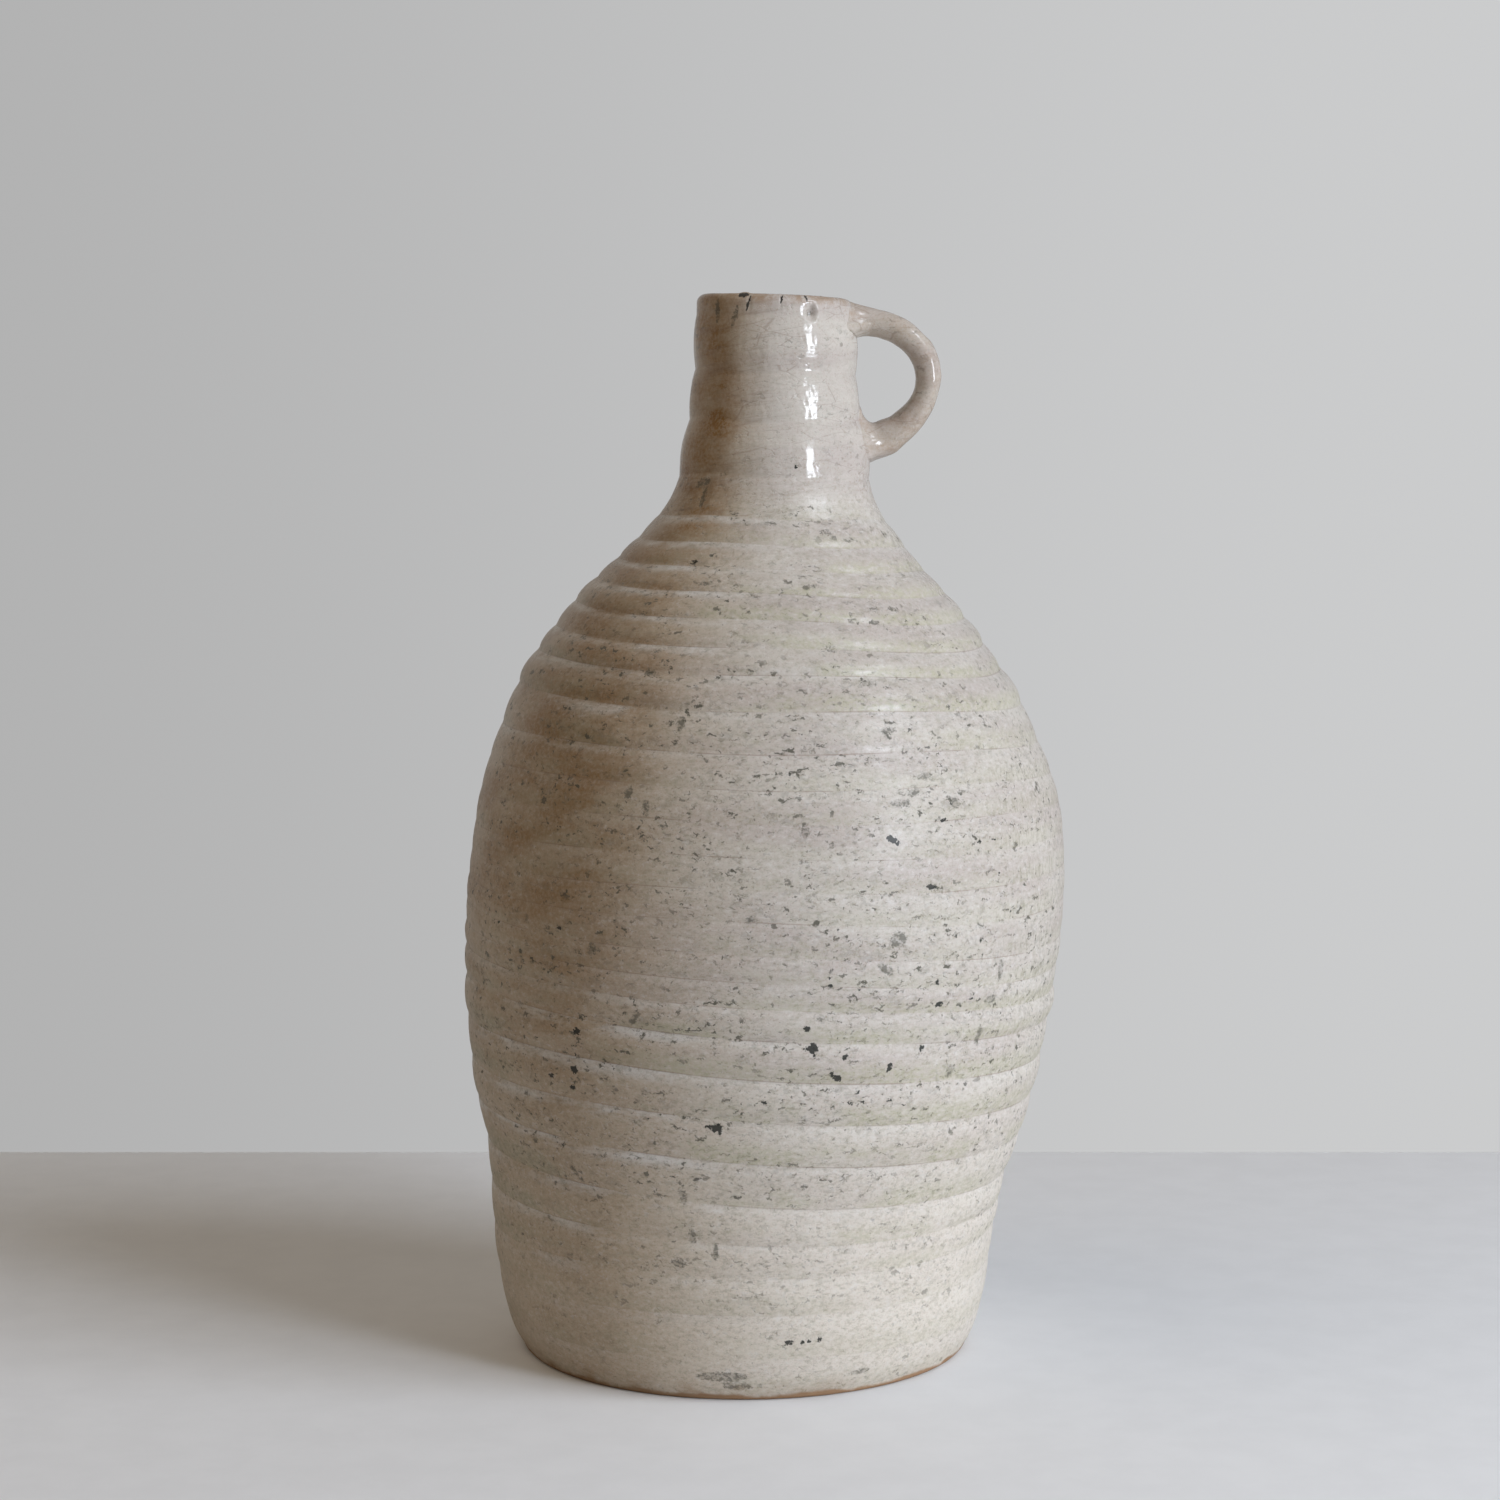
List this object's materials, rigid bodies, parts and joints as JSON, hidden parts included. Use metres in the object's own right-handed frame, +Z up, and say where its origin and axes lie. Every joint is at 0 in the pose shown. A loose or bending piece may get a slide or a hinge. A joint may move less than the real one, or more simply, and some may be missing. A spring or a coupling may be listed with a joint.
{
  "type": "stoneware bottle vase with loop handle",
  "caption": "Wheel-thrown stoneware bottle vase with throwing rings, a narrow open neck and a small one-finger loop handle at the rim.",
  "frame": {"origin": "centre of the foot's face, where the vase stands on the table", "axes": "+Z up along the foot's axis, +X towards the handle"},
  "size_m": [0.2056, 0.205, 0.3596],
  "materials": {
    "foot_clay": "bare stoneware clay, matt",
    "body_glaze": "oatmeal glaze with iron specks, satin to glossy",
    "neck_glaze": "oatmeal glaze with iron specks, glossy",
    "handle_glaze": "oatmeal glaze, glossy"
  },
  "bodies": {
    "root": {"base_slab": "foot_clay", "foot_wall": "body_glaze", "belly_wall": "body_glaze", "shoulder_wall": "body_glaze", "neck_collar": "neck_glaze", "handle_strap": "handle_glaze", "handle_top_pad": "handle_glaze", "handle_foot_pad": "handle_glaze"}
  },
  "joints": []
}
